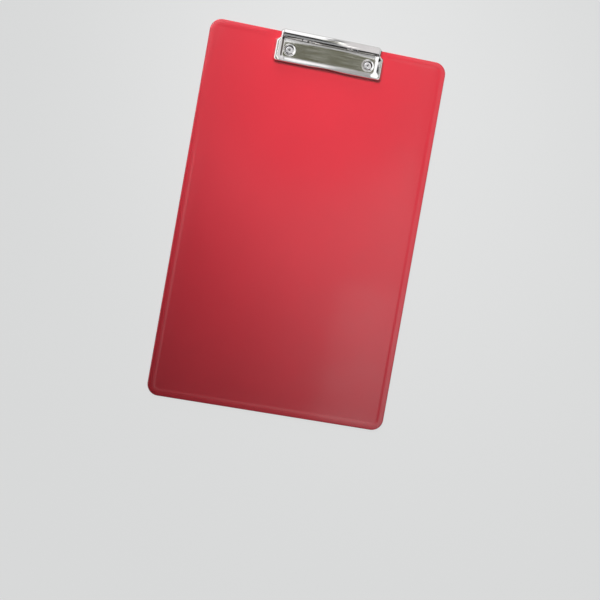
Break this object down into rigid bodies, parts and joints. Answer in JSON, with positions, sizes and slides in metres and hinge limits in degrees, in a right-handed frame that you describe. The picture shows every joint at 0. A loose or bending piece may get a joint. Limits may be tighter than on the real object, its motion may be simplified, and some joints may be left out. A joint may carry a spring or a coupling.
{
  "type": "clipboard",
  "caption": "Clipboard for long paper: flat moulded board with a low spring clip riveted at the top edge.",
  "frame": {"origin": "centre of the whole object's footprint, on the surface that the clipboard lies on", "axes": "+Y up the page towards the clip, +Z out of the writing face, +X to the writer's right"},
  "size_m": [0.2286, 0.358, 0.0113],
  "materials": {
    "board_plastic": "gloss moulded red",
    "clip_chrome": "bright nickel plate over pressed steel",
    "pin_steel": "bright plated wire",
    "spring_steel": "drawn spring wire",
    "rivet_chrome": "bright nickel plate",
    "washer_steel": "zinc plated"
  },
  "bodies": {
    "root": {"board": "board_plastic", "base_plate": "clip_chrome", "torsion_spring_left": "spring_steel", "torsion_spring_right": "spring_steel", "rivet_left": "rivet_chrome", "rivet_right": "rivet_chrome", "rivet_washer_left": "washer_steel", "rivet_washer_right": "washer_steel"},
    "jaw": {"jaw": "clip_chrome", "hinge_pin": "pin_steel"}
  },
  "joints": [
    {"name": "jaw_hinge", "type": "hinge", "parent": "root", "child": "jaw", "pos_m": [0, 0.1752, 0.0075], "axis": [-1, 0, 0], "range_deg": [0, 38], "stiffness_Nm_per_rad": 0.25, "springref_deg": -68.75, "deforming": ["torsion_spring_left", "torsion_spring_right"]}
  ]
}
